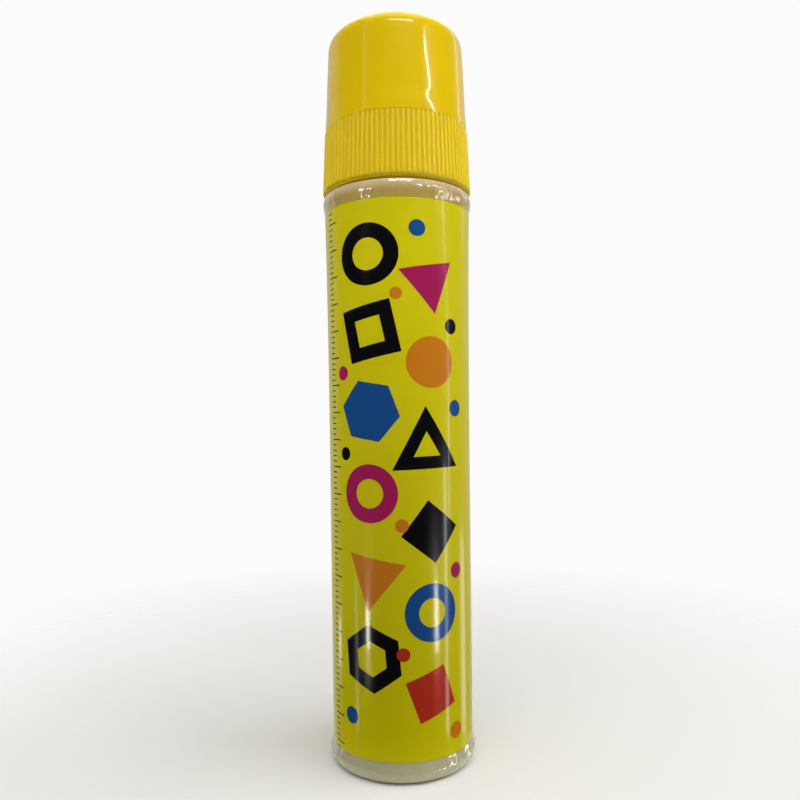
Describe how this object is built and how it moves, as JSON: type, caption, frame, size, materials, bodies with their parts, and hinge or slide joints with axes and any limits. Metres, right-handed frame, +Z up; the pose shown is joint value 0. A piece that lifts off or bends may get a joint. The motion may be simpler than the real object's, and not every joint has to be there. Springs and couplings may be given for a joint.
{
  "type": "liquid glue pen",
  "caption": "Slim round squeeze bottle of liquid glue with a wrap label, a ribbed screw collar that holds a domed sponge tip, and a smooth push-on dome cap.",
  "frame": {"origin": "centre of the base, at the level of the ring that the bottle stands on", "axes": "+Z up along the pen's axis, towards the cap; -Y faces the side that the picture shows"},
  "size_m": [0.0288, 0.0288, 0.1386],
  "materials": {
    "bottle_plastic": "satin",
    "label_film": "gloss",
    "glue_liquid": "gloss",
    "gasket_rubber": "matte",
    "holder_plastic": "satin",
    "sponge_foam": "matte",
    "mesh_nylon": "matte",
    "collar_plastic": "satin",
    "cap_plastic": "gloss"
  },
  "bodies": {
    "bottle": {"bottle": "bottle_plastic", "label": "label_film", "glue_fill": "glue_liquid"},
    "tip": {"neck_gasket": "gasket_rubber", "sponge_holder": "holder_plastic", "sponge": "sponge_foam", "mesh_cover": "mesh_nylon"},
    "collar": {"screw_collar": "collar_plastic"},
    "cap": {"cap": "cap_plastic"}
  },
  "joints": [
    {"name": "tip_lift", "type": "slide", "parent": "bottle", "child": "tip", "axis": [0, 0, 1], "range_m": [0, 0.0045]},
    {"name": "collar_turn", "type": "hinge", "parent": "tip", "child": "collar", "pos_m": [0, 0, 0.1126], "axis": [0, 0, 1], "range_deg": [0, 540]},
    {"name": "cap_pull", "type": "slide", "parent": "collar", "child": "cap", "axis": [0, 0, 1], "range_m": [0, 0.03]}
  ],
  "couplings": [
    {"joint": "tip_lift", "follows": "collar_turn", "m_per_rad": 0.00047746}
  ]
}
